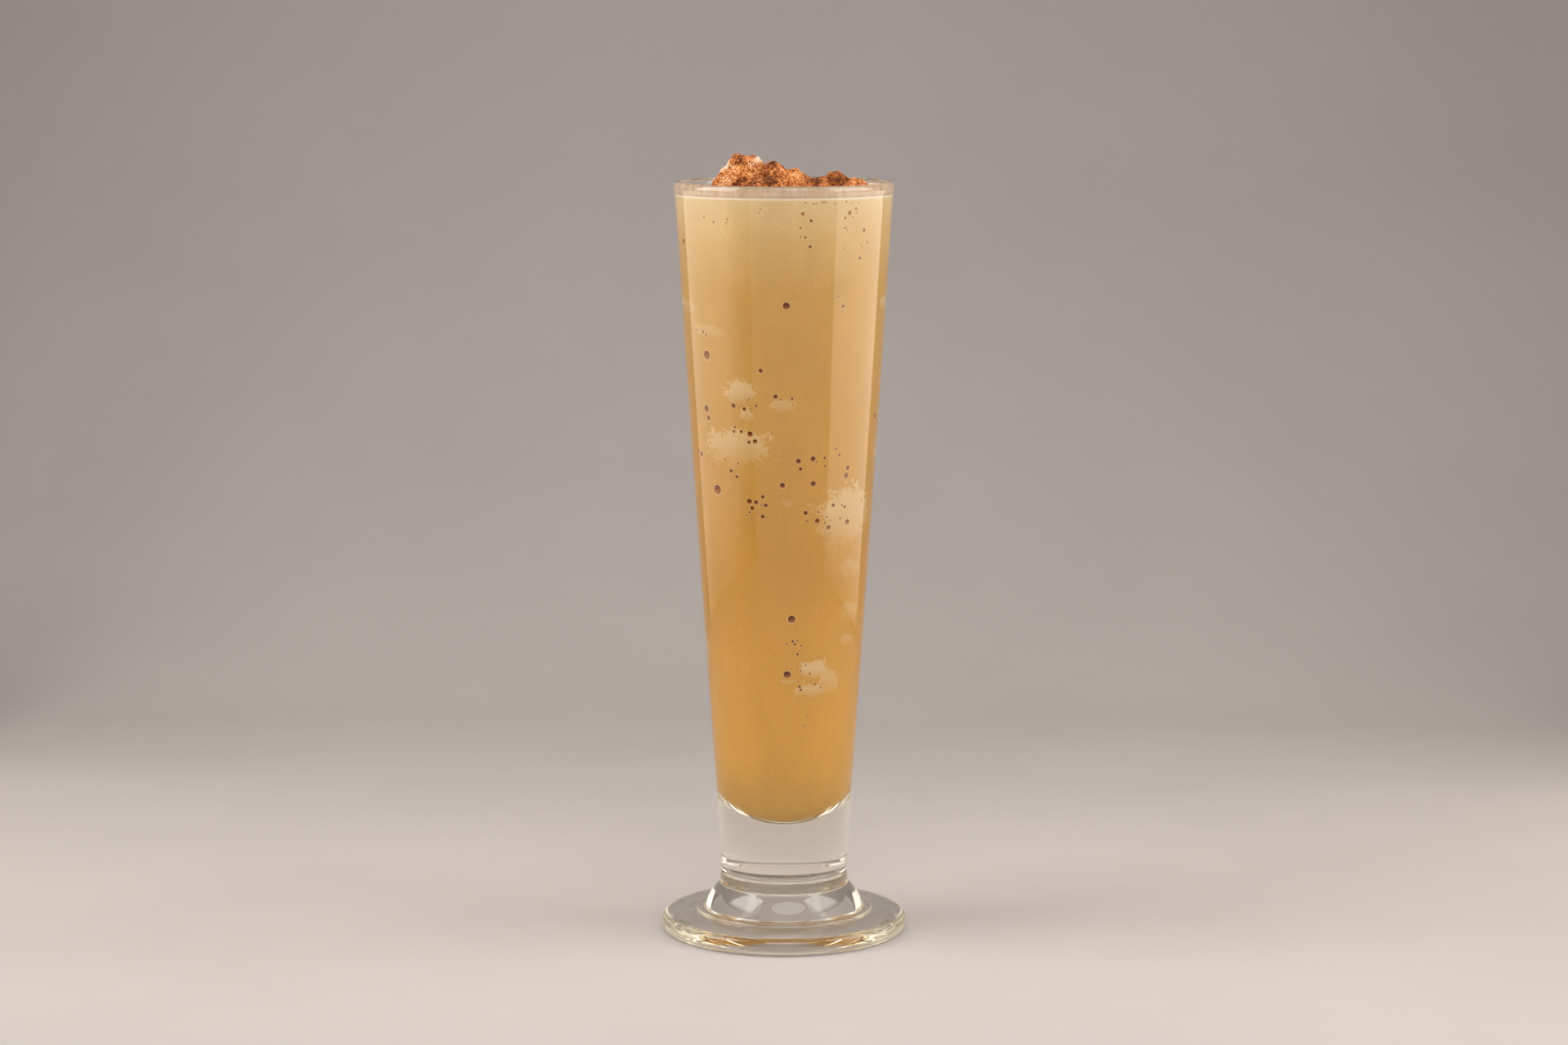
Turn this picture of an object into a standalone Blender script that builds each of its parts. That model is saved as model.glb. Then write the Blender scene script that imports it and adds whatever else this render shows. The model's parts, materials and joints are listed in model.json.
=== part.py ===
"""Frozen cappuccino: blended coffee with a pale foam head and dusted cream lumps, in a tall footed glass.

Metres, +Z up. The origin is the centre of the foot's underside, on the table. The camera side is -Y.
The glass, the coffee and the foam are turned shapes. The cream is a mass of rounded lumps with crags.
"""

import math

import bmesh
import bpy
from mathutils import Matrix, Vector, noise

MM = 0.001

# Facets of the turned shapes and the air left between touching pieces
TURN_STEPS = 48
CLEARANCE = 0.3 * MM
MERGE_DISTANCE = 0.01 * MM
SMOOTH_ANGLE = math.radians(35)

# Bowl of the glass, outside
GLASS_HEIGHT = 225 * MM
RIM_RADIUS = 32.5 * MM
RIM_WALL = 2.0 * MM
RIM_ROUND = 1.6 * MM
BEAD_FOOT_Z = 219 * MM
BEAD_DEPTH = 0.45 * MM
STEM_TOP_Z = 44 * MM
STEM_TOP_RADIUS = 20.4 * MM
WALL_BOW = 0.25 * MM
NECK_Z = 20.3 * MM
NECK_RADIUS = 19.0 * MM
WALL_RINGS = 6

# Grooved ring under the neck
GROOVE_Z = 18.5 * MM
GROOVE_DEPTH = 0.4 * MM
GROOVE_HALF_WIDTH = 0.9 * MM

# Bell that spreads from the neck to the foot
BELL_TOP_Z = 14.3 * MM
BELL_TOP_RADIUS = 19.3 * MM
BELL_FOOT_Z = 7.6 * MM
BELL_FOOT_RADIUS = 23.6 * MM
BELL_BULGE = 0.6 * MM

# Step where the bell meets the foot, and the foot's disc
STEP_RADIUS = 26.4 * MM
STEP_TOP_Z = 6.95 * MM
STEP_ROUND = 0.5 * MM
DISC_INNER_Z = 6.2 * MM
DISC_EDGE_RADIUS = 34.7 * MM
DISC_EDGE_HEIGHT = 5.3 * MM
FOOT_RADIUS = 37.0 * MM
CONTACT_INNER_RADIUS = 30.5 * MM
RECESS_DEPTH = 2.5 * MM

# Hollow of the glass
CAVITY_FLOOR_Z = 33.5 * MM
CAVITY_BOWL_HEIGHT = 21 * MM
CAVITY_BOWL_RADIUS = 18.5 * MM

# Drink: the foam head lies on the coffee, and its top creeps up the wall
FOAM_FOOT_Z = 206 * MM
DRINK_LEVEL_Z = 221.6 * MM
MENISCUS_RISE = 0.6 * MM
MENISCUS_WIDTH = 3.0 * MM
DRINK_RINGS = 5

# Cream lumps on the foam: x, y, half width in x, half width in y, height above the drink's level
CREAM_LUMPS_MM = (
    (-12.2, 0.0, 7.7, 9.5, 10.9),
    (-14.1, 1.0, 4.6, 6.5, 12.1),
    (-14.2, -8.5, 8.3, 6.5, 7.3),
    (-9.2, 6.0, 5.8, 8.5, 11.0),
    (-3.2, -1.0, 5.2, 8.0, 9.5),
    (-5.5, -11.5, 7.0, 6.5, 5.4),
    (2.8, -2.0, 5.4, 9.0, 7.4),
    (8.5, -1.0, 6.0, 10.0, 4.4),
    (15.4, -1.0, 4.6, 8.0, 6.7),
    (20.4, 1.5, 5.0, 7.0, 4.5),
    (6.0, -12.5, 7.0, 5.5, 3.6),
    (1.5, 10.5, 9.0, 7.5, 5.8),
    (13.5, 9.5, 7.0, 7.0, 4.4),
    (-12.5, 12.5, 7.0, 6.5, 5.2),
)
CRAG_SIZE = 4.6 * MM
CRAG_DEPTH = 1.5 * MM
CRAG_OCTAVES = 3
CRAG_CENTRE = 0.62
CREAM_FINE_VOXEL = 0.6 * MM
CREAM_VOXEL = 1.1 * MM
CREAM_BLOCK = 80 * MM

COLOURS = {
    "soda_lime_glass": (0.93, 0.95, 0.92),
    "blended_coffee": (0.56, 0.31, 0.10),
    "milk_foam": (0.71, 0.50, 0.25),
    "dusted_cream": (0.62, 0.25, 0.09),
}


def clear_scene():
    for item in list(bpy.data.objects):
        bpy.data.objects.remove(item)


def collection(name):
    """A new collection in the scene."""
    group = bpy.data.collections.new(name)
    bpy.context.scene.collection.children.link(group)
    return group


def material(name, roughness, transmission=0.0, subsurface=0.0, ior=1.45):
    """A Principled material in one of the part's colours."""
    made = bpy.data.materials.new(name)
    made.use_nodes = True
    shader = made.node_tree.nodes["Principled BSDF"]
    shader.inputs["Base Color"].default_value = (*COLOURS[name], 1.0)
    shader.inputs["Metallic"].default_value = 0.0
    shader.inputs["Roughness"].default_value = roughness
    shader.inputs["Transmission Weight"].default_value = transmission
    shader.inputs["Subsurface Weight"].default_value = subsurface
    shader.inputs["IOR"].default_value = ior
    return made


def glass_material():
    return material("soda_lime_glass", roughness=0.02, transmission=1.0, ior=1.52)


def coffee_material():
    return material("blended_coffee", roughness=0.25, subsurface=0.2)


def foam_material():
    return material("milk_foam", roughness=0.45, subsurface=0.2)


def cream_material():
    return material("dusted_cream", roughness=0.8, subsurface=0.1)


def arc(centre, radii, start, end, steps):
    """Points (radius, height) on an ellipse, between two angles in degrees from the outward direction."""
    angles = [math.radians(start + (end - start) * i / steps) for i in range(steps + 1)]
    return [(centre[0] + radii[0] * math.cos(a), centre[1] + radii[1] * math.sin(a)) for a in angles]


def bulged(start, end, bulge, steps):
    """Points from start to end on a shallow curve that swells outward by bulge."""
    a, b = Vector(start), Vector(end)
    side = Vector((a.y - b.y, b.x - a.x)).normalized()
    share = [i / steps for i in range(steps + 1)]
    return [tuple(a.lerp(b, t) + side * bulge * 4 * t * (1 - t)) for t in share]


def turned(name, outline, finish, group):
    """An outline of (radius, height) points, turned about the Z axis. It runs down its outer side."""
    mesh = bpy.data.meshes.new(name)
    edges = [(i, i + 1) for i in range(len(outline) - 1)]
    mesh.from_pydata([(r, 0, z) for r, z in outline], edges, [])
    mesh.materials.append(finish)
    made = bpy.data.objects.new(name, mesh)
    group.objects.link(made)
    screw = made.modifiers.new("Turn", "SCREW")
    screw.steps = TURN_STEPS
    screw.render_steps = TURN_STEPS
    screw.use_merge_vertices = True
    screw.merge_threshold = MERGE_DISTANCE
    screw.use_smooth_shade = True
    return made


def cavity_radius(z):
    """The hollow's radius at a height above its rounded bottom."""
    low = CAVITY_FLOOR_Z + CAVITY_BOWL_HEIGHT
    high = GLASS_HEIGHT - RIM_ROUND
    share = (z - low) / (high - low)
    return CAVITY_BOWL_RADIUS + (RIM_RADIUS - RIM_WALL - CAVITY_BOWL_RADIUS) * share


def cavity_side(top, bottom, inset, rings):
    """The tapered side of the hollow from top down to bottom, moved inward by inset."""
    heights = [top + (bottom - top) * i / rings for i in range(rings + 1)]
    return [(cavity_radius(z) - inset, z) for z in heights]


def cavity_bowl(inset):
    """The rounded bottom of the hollow, from its side down to the axis, moved inward by inset."""
    centre = (0, CAVITY_FLOOR_Z + CAVITY_BOWL_HEIGHT)
    radii = (CAVITY_BOWL_RADIUS - inset, CAVITY_BOWL_HEIGHT - inset)
    return arc(centre, radii, 0, -90, 8)


def bowl_outside():
    """The glass from under the rim to the neck: a small bead, a long taper and a short stem."""
    bead_foot_radius = RIM_RADIUS - BEAD_DEPTH
    bead_height = GLASS_HEIGHT - RIM_ROUND - BEAD_FOOT_Z
    bead = []
    for share in (1 / 3, 2 / 3, 1):
        swell = BEAD_DEPTH * (0.5 + 0.5 * math.cos(math.pi * share))
        bead.append((bead_foot_radius + swell, BEAD_FOOT_Z + bead_height * (1 - share)))
    taper = bulged((bead_foot_radius, BEAD_FOOT_Z), (STEM_TOP_RADIUS, STEM_TOP_Z), WALL_BOW, WALL_RINGS)
    return [*bead, *taper[1:], (NECK_RADIUS, NECK_Z)]


def groove():
    """A shallow ring pressed in under the neck."""
    radius = (NECK_RADIUS + BELL_TOP_RADIUS) / 2
    return [
        (radius, GROOVE_Z + GROOVE_HALF_WIDTH),
        (radius - GROOVE_DEPTH, GROOVE_Z),
        (radius, GROOVE_Z - GROOVE_HALF_WIDTH),
    ]


def step_ring():
    """The low rounded step where the bell stands on the disc."""
    corner = (STEP_RADIUS - STEP_ROUND, STEP_TOP_Z - STEP_ROUND)
    return [(BELL_FOOT_RADIUS + STEP_ROUND, STEP_TOP_Z), *arc(corner, (STEP_ROUND, STEP_ROUND), 90, 0, 3)]


def foot():
    """The disc's top, its rounded edge, the ring that it stands on and the shallow recess under it."""
    edge_centre = (DISC_EDGE_RADIUS, DISC_EDGE_HEIGHT / 2)
    edge_radii = (FOOT_RADIUS - DISC_EDGE_RADIUS, DISC_EDGE_HEIGHT / 2)
    recess = [
        (CONTACT_INNER_RADIUS * share, RECESS_DEPTH * (1 - share * share))
        for share in (1, 0.85, 0.6, 0.3, 0)
    ]
    return [(STEP_RADIUS, DISC_INNER_Z), *arc(edge_centre, edge_radii, 90, -90, 8), *recess]


def glass(group):
    """The footed glass: its hollow from the bottom up, over the rim, and down the outside."""
    rim_centre = (RIM_RADIUS - RIM_WALL / 2, GLASS_HEIGHT - RIM_ROUND)
    hollow = cavity_side(rim_centre[1], CAVITY_FLOOR_Z + CAVITY_BOWL_HEIGHT, 0, WALL_RINGS)
    hollow = [*hollow[1:-1], *cavity_bowl(0)]
    rim = arc(rim_centre, (RIM_WALL / 2, RIM_ROUND), 180, 0, 6)
    bell = bulged((BELL_TOP_RADIUS, BELL_TOP_Z), (BELL_FOOT_RADIUS, BELL_FOOT_Z), BELL_BULGE, 4)
    outline = [*reversed(hollow), *rim, *bowl_outside(), *groove(), *bell, *step_ring(), *foot()]
    return turned("glass", outline, glass_material(), group)


def blended_coffee(group):
    """The coffee fills the hollow from its rounded bottom up to the foam."""
    top = FOAM_FOOT_Z - CLEARANCE
    side = cavity_side(top, CAVITY_FLOOR_Z + CAVITY_BOWL_HEIGHT, CLEARANCE, DRINK_RINGS)
    outline = [(0, top), *side[:-1], *cavity_bowl(CLEARANCE)]
    return turned("blended_coffee", outline, coffee_material(), group)


def milk_foam(group):
    """The pale head, with a top that is flat and then creeps up the wall."""
    edge_z = DRINK_LEVEL_Z + MENISCUS_RISE
    edge_radius = cavity_radius(edge_z) - CLEARANCE
    creep = [
        (edge_radius - MENISCUS_WIDTH * (1 - t), DRINK_LEVEL_Z + MENISCUS_RISE * t * t)
        for t in (0, 0.5, 0.8, 1)
    ]
    side = cavity_side(edge_z, FOAM_FOOT_Z, CLEARANCE, 2)
    outline = [(0, DRINK_LEVEL_Z), *creep, *side[1:], (0, FOAM_FOOT_Z)]
    return turned("milk_foam", outline, foam_material(), group)


def remeshed(made, voxel):
    """Fuses an object's mesh into one even skin of small square faces."""
    fuse = made.modifiers.new("Fuse", "REMESH")
    fuse.mode = "VOXEL"
    fuse.voxel_size = voxel
    evaluated = made.evaluated_get(bpy.context.evaluated_depsgraph_get())
    mesh = bpy.data.meshes.new_from_object(evaluated)
    made.modifiers.remove(fuse)
    made.data = mesh


def crag(point):
    """How far the cream stands out at a point, or in where it is negative."""
    rough = noise.turbulence(point / CRAG_SIZE, CRAG_OCTAVES, True)
    return CRAG_DEPTH * (rough - CRAG_CENTRE)


def cream_cutter(group, base):
    """A block whose top is the level on which the cream lies."""
    mesh = bpy.data.meshes.new("cream_cutter")
    block = bmesh.new()
    centre = Matrix.Translation((0, 0, base - CREAM_BLOCK / 2))
    bmesh.ops.create_cube(block, size=CREAM_BLOCK, matrix=centre)
    block.to_mesh(mesh)
    block.free()
    cutter = bpy.data.objects.new("cream_cutter", mesh)
    cutter.hide_render = True
    cutter.display_type = "WIRE"
    group.objects.link(cutter)
    return cutter


def cream_lumps(group, cutters):
    """Rounded lumps fused into one mass, roughened into crags and cut flat where they lie on the foam."""
    base = DRINK_LEVEL_Z + CLEARANCE
    balls = bmesh.new()
    for x, y, half_x, half_y, height in CREAM_LUMPS_MM:
        place = Matrix.Translation((x * MM, y * MM, base))
        size = Matrix.Diagonal((half_x * MM, half_y * MM, height * MM, 1))
        bmesh.ops.create_icosphere(balls, subdivisions=3, radius=1, matrix=place @ size)
    mesh = bpy.data.meshes.new("cream_lumps")
    balls.to_mesh(mesh)
    balls.free()
    made = bpy.data.objects.new("cream_lumps", mesh)
    group.objects.link(made)
    remeshed(made, CREAM_FINE_VOXEL)
    normals = [vertex.normal.copy() for vertex in made.data.vertices]
    for vertex, normal in zip(made.data.vertices, normals):
        vertex.co += normal * crag(vertex.co)
    remeshed(made, CREAM_VOXEL)
    made.data.materials.clear()
    made.data.materials.append(cream_material())
    made.data.shade_smooth()
    made.data.set_sharp_from_angle(angle=SMOOTH_ANGLE)
    trim = made.modifiers.new("Trim", "BOOLEAN")
    trim.operation = "DIFFERENCE"
    trim.object = cream_cutter(cutters, base)
    return made


def build():
    clear_scene()
    group = collection("frozen_cappuccino")
    cutters = collection("cutters")
    glass(group)
    blended_coffee(group)
    milk_foam(group)
    cream_lumps(group, cutters)


build()
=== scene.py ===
"""Looks of a frozen cappuccino: blended coffee, pale foam and dusted cream lumps in a tall footed glass.

It is laid out as an add-on: one operator makes each piece, and the panel lists them. Lengths are in metres.
The camera side is -Y, and the glass stands on its foot at the origin.
"""

import json
import math
import random

import bmesh
import bpy
import numpy as np
from mathutils import Matrix, Vector, noise
from mathutils.bvhtree import BVHTree

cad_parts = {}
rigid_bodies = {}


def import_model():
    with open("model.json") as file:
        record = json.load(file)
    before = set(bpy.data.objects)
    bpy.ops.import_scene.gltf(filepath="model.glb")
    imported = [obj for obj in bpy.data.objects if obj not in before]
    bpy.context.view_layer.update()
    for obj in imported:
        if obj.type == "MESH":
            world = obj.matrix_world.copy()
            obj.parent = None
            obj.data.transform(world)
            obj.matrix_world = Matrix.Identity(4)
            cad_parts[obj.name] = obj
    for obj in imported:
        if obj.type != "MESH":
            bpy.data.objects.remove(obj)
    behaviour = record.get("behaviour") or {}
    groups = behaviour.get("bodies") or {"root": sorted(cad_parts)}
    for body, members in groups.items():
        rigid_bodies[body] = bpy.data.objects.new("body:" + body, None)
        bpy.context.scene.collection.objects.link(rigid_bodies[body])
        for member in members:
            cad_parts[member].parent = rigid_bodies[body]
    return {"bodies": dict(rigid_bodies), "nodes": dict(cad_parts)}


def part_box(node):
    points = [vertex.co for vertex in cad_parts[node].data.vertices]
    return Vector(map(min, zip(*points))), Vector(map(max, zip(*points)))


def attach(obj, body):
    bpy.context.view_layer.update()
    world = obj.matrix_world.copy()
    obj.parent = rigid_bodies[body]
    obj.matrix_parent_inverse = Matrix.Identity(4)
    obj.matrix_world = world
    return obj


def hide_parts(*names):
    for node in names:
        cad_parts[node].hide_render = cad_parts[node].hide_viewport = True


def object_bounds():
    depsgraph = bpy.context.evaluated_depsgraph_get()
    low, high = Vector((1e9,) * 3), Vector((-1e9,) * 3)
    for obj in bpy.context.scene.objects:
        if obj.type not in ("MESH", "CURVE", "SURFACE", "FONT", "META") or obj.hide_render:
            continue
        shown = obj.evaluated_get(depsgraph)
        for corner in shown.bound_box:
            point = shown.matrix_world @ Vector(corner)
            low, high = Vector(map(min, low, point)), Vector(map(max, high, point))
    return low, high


bl_info = {
    "name": "Frozen cappuccino",
    "version": (1, 0, 0),
    "blender": (4, 5, 0),
    "location": "View3D > Sidebar > Cappuccino",
    "description": "Builds a frozen cappuccino in a footed glass, with its stage",
    "category": "Object",
}

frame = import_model()
CAD_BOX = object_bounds()

MM = 0.001
SEED = 417

# Outside of the glass, from the rim down, as the solid has it
GLASS_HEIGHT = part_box("glass")[1].z
FOOT_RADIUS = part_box("glass")[1].x
RIM_RADIUS = 32.5 * MM
RIM_WALL = 2.0 * MM
RIM_ROUND = 1.6 * MM
BEAD_FOOT_Z = 219 * MM
BEAD_DEPTH = 0.45 * MM
STEM_TOP_Z = 44 * MM
STEM_TOP_RADIUS = 20.4 * MM
WALL_BOW = 0.25 * MM
NECK_Z = 20.3 * MM
NECK_RADIUS = 19.0 * MM
GROOVE_Z = 18.5 * MM
GROOVE_DEPTH = 0.4 * MM
GROOVE_HALF_WIDTH = 0.9 * MM
BELL_TOP_Z = 14.3 * MM
BELL_TOP_RADIUS = 19.3 * MM
BELL_FOOT_Z = 7.6 * MM
BELL_FOOT_RADIUS = 23.6 * MM
BELL_BULGE = 0.6 * MM
STEP_RADIUS = 26.4 * MM
STEP_TOP_Z = 6.95 * MM
STEP_ROUND = 0.5 * MM
DISC_INNER_Z = 6.2 * MM
DISC_EDGE_RADIUS = 34.7 * MM
DISC_EDGE_HEIGHT = 5.3 * MM
CONTACT_INNER_RADIUS = 30.5 * MM
RECESS_DEPTH = 2.5 * MM
PRESSED_EDGE = 0.5 * MM
FOOT_SPAN = 0.6 * MM

# Hollow of the glass and what fills it
CAVITY_FLOOR_Z = 33.5 * MM
CAVITY_BOWL_HEIGHT = 21 * MM
CAVITY_BOWL_RADIUS = 18.5 * MM
BOWL_TOP_Z = CAVITY_FLOOR_Z + CAVITY_BOWL_HEIGHT
INTO_WALL = 0.15 * MM
FOAM_FOOT_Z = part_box("milk_foam")[0].z
DRINK_LEVEL_Z = 221.6 * MM
MENISCUS_RISE = 0.6 * MM
MENISCUS_WIDTH = 3.0 * MM
# A pale line painted at the drink's level as a highlight on the meniscus: its foot, its height and its soft
# edge
LEVEL_HIGHLIGHT_Z = 221.05 * MM
LEVEL_HIGHLIGHT_HEIGHT = 0.55 * MM
LEVEL_HIGHLIGHT_EDGE = 0.12 * MM

# Fineness of the turned shapes
GLASS_STEPS = 192
DRINK_STEPS = 240
DRINK_ROW = 0.9 * MM
BUBBLE_STEPS = 24

# How much each clear thing bends light
GLASS_IOR = 1.52
DRINK_IOR = 1.42
WATER_IOR = 1.33

# Groups of air bubbles against the wall: x and height of the middle as the viewer sees it, half width,
# half height, how many, and the smallest and largest diameter, all in mm but the count
BUBBLE_GROUPS = (
    (6.6, 214.0, 1.8, 3.4, 3, 0.4, 0.7),
    (21.5, 212.0, 3.4, 6.0, 10, 0.4, 0.8),
    (15.0, 220.3, 9.5, 0.3, 20, 0.4, 0.6),
    (-15.0, 216.5, 9.0, 2.6, 6, 0.4, 0.7),
    (17.5, 191.5, 1.4, 1.8, 3, 0.5, 1.2),
    (-24.0, 182.0, 2.6, 0.8, 3, 0.5, 1.1),
    (-9.6, 171.2, 1.6, 0.5, 2, 0.4, 0.7),
    (0.4, 162.6, 3.0, 1.2, 5, 0.4, 0.8),
    (-12.5, 162.0, 4.6, 1.8, 7, 0.4, 0.8),
    (-14.5, 154.4, 3.0, 1.0, 3, 0.5, 1.0),
    (-8.8, 151.6, 2.0, 1.0, 2, 0.6, 1.4),
    (-17.0, 143.6, 4.6, 2.0, 3, 0.5, 0.8),
    (9.0, 145.2, 4.0, 2.6, 4, 0.4, 0.9),
    (18.0, 146.5, 3.0, 2.6, 3, 0.6, 0.9),
    (-9.4, 131.0, 4.0, 3.2, 5, 0.4, 0.8),
    (9.5, 129.5, 5.4, 3.0, 5, 0.4, 0.7),
    (17.5, 130.0, 2.4, 5.4, 4, 0.6, 1.1),
    (3.0, 91.0, 2.6, 2.0, 5, 0.5, 1.2),
    (8.2, 82.0, 5.0, 6.6, 12, 0.4, 1.0),
    (5.0, 68.0, 3.0, 3.0, 2, 0.4, 0.7),
)
# The bubbles that stand out, one by one: x, height and diameter in mm
LARGE_BUBBLES = (
    (8.1, 215.2, 0.9),
    (6.4, 210.4, 0.7),
    (7.8, 207.7, 0.9),
    (23.9, 211.9, 1.1),
    (22.7, 203.9, 1.0),
    (5.6, 217.2, 1.0),
    (19.6, 217.2, 1.3),
    (21.5, 218.3, 0.8),
    (0.7, 190.7, 2.1),
    (-23.3, 175.4, 2.7),
    (-7.1, 171.7, 1.3),
    (-2.6, 164.2, 1.4),
    (-15.4, 161.1, 1.5),
    (-12.1, 160.3, 1.2),
    (-23.5, 159.5, 2.2),
    (-22.9, 156.8, 1.6),
    (-10.4, 153.1, 1.6),
    (8.9, 145.8, 1.5),
    (4.4, 145.2, 1.5),
    (5.1, 142.9, 1.0),
    (19.5, 142.4, 1.4),
    (19.1, 140.1, 1.7),
    (-16.2, 141.8, 1.2),
    (-14.5, 140.2, 1.0),
    (9.0, 138.4, 1.6),
    (-0.5, 138.1, 1.6),
    (-20.4, 135.8, 2.9),
    (-6.6, 134.6, 1.1),
    (-10.7, 133.1, 1.6),
    (-8.6, 132.9, 1.3),
    (-5.6, 132.1, 1.2),
    (-9.8, 131.1, 1.3),
    (-6.6, 128.7, 1.2),
    (6.7, 129.8, 1.3),
    (10.3, 127.3, 1.5),
    (19.5, 126.2, 1.6),
    (13.8, 125.2, 1.3),
    (2.4, 98.2, 2.2),
    (1.0, 81.5, 2.1),
)
# The bubbles' painted shade is paler from the first height up to the second, and where they are smaller than
# full shade
FADING_SHADE_Z = (212 * MM, 219 * MM)
FULL_SHADE_SIZE = 0.9 * MM
# The least distance between two bubbles' middles, as a share of their diameters together
BUBBLE_SPACING = 0.62
# Drawn groups on the side away from the viewer, between these azimuths in degrees
HIDDEN_GROUPS = 22
HIDDEN_AZIMUTH = (75, 285)

# Torn pale froth against the wall: x, height, half width, half height in mm, and how pale
FROTH_PATCHES = (
    (-23.0, 182.4, 4.4, 2.2, 0.35),
    (-13.6, 165.2, 5.0, 4.2, 0.9),
    (-11.8, 158.6, 2.4, 2.6, 0.75),
    (-0.2, 161.6, 4.0, 2.4, 0.6),
    (-14.6, 149.0, 11.0, 6.4, 0.75),
    (1.0, 132.6, 1.6, 2.0, 0.35),
    (19.5, 128.0, 7.5, 11.0, 0.8),
    (20.6, 112.0, 3.0, 4.0, 0.35),
    (20.8, 99.0, 2.4, 3.4, 0.4),
    (20.0, 90.5, 2.0, 2.2, 0.4),
    (9.4, 82.6, 4.8, 3.2, 1.0),
    (8.6, 76.4, 5.6, 2.4, 0.8),
    (1.8, 79.2, 2.6, 1.0, 0.6),
    (14.5, 78.6, 3.2, 4.4, 0.6),
)
HIDDEN_PATCHES = 16
# How far a patch's torn edge may reach, as a share of its half width
FROTH_REACH = 1.42

# Cream lumps on the foam, as the solid has them: x, y, half width, half depth and height in mm
CREAM_LUMPS_MM = (
    (-12.2, 0.0, 7.7, 9.5, 10.9),
    (-14.1, 1.0, 4.6, 6.5, 12.1),
    (-14.2, -8.5, 8.3, 6.5, 7.3),
    (-9.2, 6.0, 5.8, 8.5, 11.0),
    (-3.2, -1.0, 5.2, 8.0, 9.5),
    (-5.5, -11.5, 7.0, 6.5, 5.4),
    (2.8, -2.0, 5.4, 9.0, 7.4),
    (8.5, -1.0, 6.0, 10.0, 4.4),
    (15.4, -1.0, 4.6, 8.0, 6.7),
    (20.4, 1.5, 5.0, 7.0, 4.5),
    (6.0, -12.5, 7.0, 5.5, 3.6),
    (1.5, 10.5, 9.0, 7.5, 5.8),
    (13.5, 9.5, 7.0, 7.0, 4.4),
    (-12.5, 12.5, 7.0, 6.5, 5.2),
)
CREAM_BASE_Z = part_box("cream_lumps")[0].z
# In front of this the cream stays dusted
BARE_FRONT_Y = -6 * MM
# Where the dust on the cream is made darker, and where the cream is bare: x, height and reach in mm, and how
# strongly
DARK_PATCHES = (
    (-4.6, 226.6, 2.4, 0.6),
    (-3.0, 231.0, 1.3, 0.5),
    (-12.8, 231.6, 1.6, 0.5),
    (-12.4, 226.2, 1.6, 0.3),
    (9.5, 225.0, 2.2, 0.45),
    (14.8, 225.8, 2.6, 0.55),
    (18.6, 226.2, 1.4, 0.4),
    (-8.8, 224.8, 2.0, 0.35),
)
BARE_PATCHES = (
    (-19.3, 228.6, 1.9, 1.5),
    (-17.9, 230.4, 1.6, 1.5),
    (-16.6, 231.8, 1.0, 0.8),
    (-7.4, 231.8, 1.4, 0.9),
    (-9.8, 230.2, 1.2, 0.35),
    (5.8, 226.0, 1.6, 0.3),
    (6.4, 224.6, 1.2, 0.5),
)
CRAG_SIZE = 4.6 * MM
CRAG_DEPTH = 1.5 * MM
CRAG_OCTAVES = 3
CRAG_CENTRE = 0.62
CREAM_SINK = 0.8 * MM
CREAM_VOXEL = 0.6 * MM
CREAM_FINE_VOXEL = 0.36 * MM
CRUMB_SIZE = 1.3 * MM
CRUMB_DEPTH = 0.3 * MM
CRUMB_FINE_SIZE = 0.5 * MM
CRUMB_FINE_DEPTH = 0.13 * MM

# The photo's camera: its distance from the glass, its height and how far it looks down
CAMERA_DISTANCE = 1.0932
CAMERA_HEIGHT = 0.2769
CAMERA_PITCH = math.radians(7.982)
CAMERA_LENS_MM = 85
SENSOR_MM = 36

# The stage: how far the floor and the backdrop reach to each side, and how often light may bounce
FLOOR_HALF_WIDTH = 9.0
BACKDROP_HALF_WIDTH = 3.0
GLASS_BOUNCES = 32
LAMP_PLACE = (0.15, -0.95, 1.15)
LAMP_SIZE = (1.15, 0.9)
# Colour of the lamps' cloth, and how each box glows upwards, as (height, glow)
WARM_CLOTH = (1.0, 0.95, 0.85, 1)
WHITE_CLOTH = (1.0, 0.98, 0.95, 1)
HIGH_GLOW = ((0.2, 0), (0.28, 1), (0.8, 1))
RIGHT_GLOW = ((0.002, 0.35), (0.035, 0.9), (0.12, 1.15), (0.185, 1.15), (0.2, 0))
LEFT_GLOW = ((0.002, 0.3), (0.04, 0.6), (0.12, 0.8), (0.185, 0.75), (0.2, 0))
# The soft boxes: colour, first and last azimuth in degrees, distance, radiance as a share of the side light,
# the angles over which the two ends fade, and the glow upwards
SOFT_BOXES = {
    "soft_box_right": (WARM_CLOTH, (54, 126), 0.4, 1, (3, 2), RIGHT_GLOW),
    "soft_box_left": (WARM_CLOTH, (-131, -36), 0.42, 1, (3, 40), LEFT_GLOW),
    "soft_box_high_right": (WHITE_CLOTH, (44, 106), 0.4, 2.4, (12, 12), HIGH_GLOW),
    "soft_box_high_left": (WHITE_CLOTH, (-106, -46), 0.42, 3.1, (12, 12), HIGH_GLOW),
}


def linear(code):
    """A linear colour with alpha from an sRGB hex value."""
    parts = [int(code[i : i + 2], 16) / 255 for i in (0, 2, 4)]
    return (*[c / 12.92 if c <= 0.04045 else ((c + 0.055) / 1.055) ** 2.4 for c in parts], 1.0)


def colour_property(name, description, code):
    return bpy.props.FloatVectorProperty(
        name=name, description=description, default=linear(code)[:3], subtype="COLOR", size=3, min=0, max=1
    )


def number_property(name, description, default, unit="NONE"):
    return bpy.props.FloatProperty(name=name, description=description, default=default, unit=unit)


def whole_property(name, description, default, least=0):
    return bpy.props.IntProperty(name=name, description=description, default=default, min=least)


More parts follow.
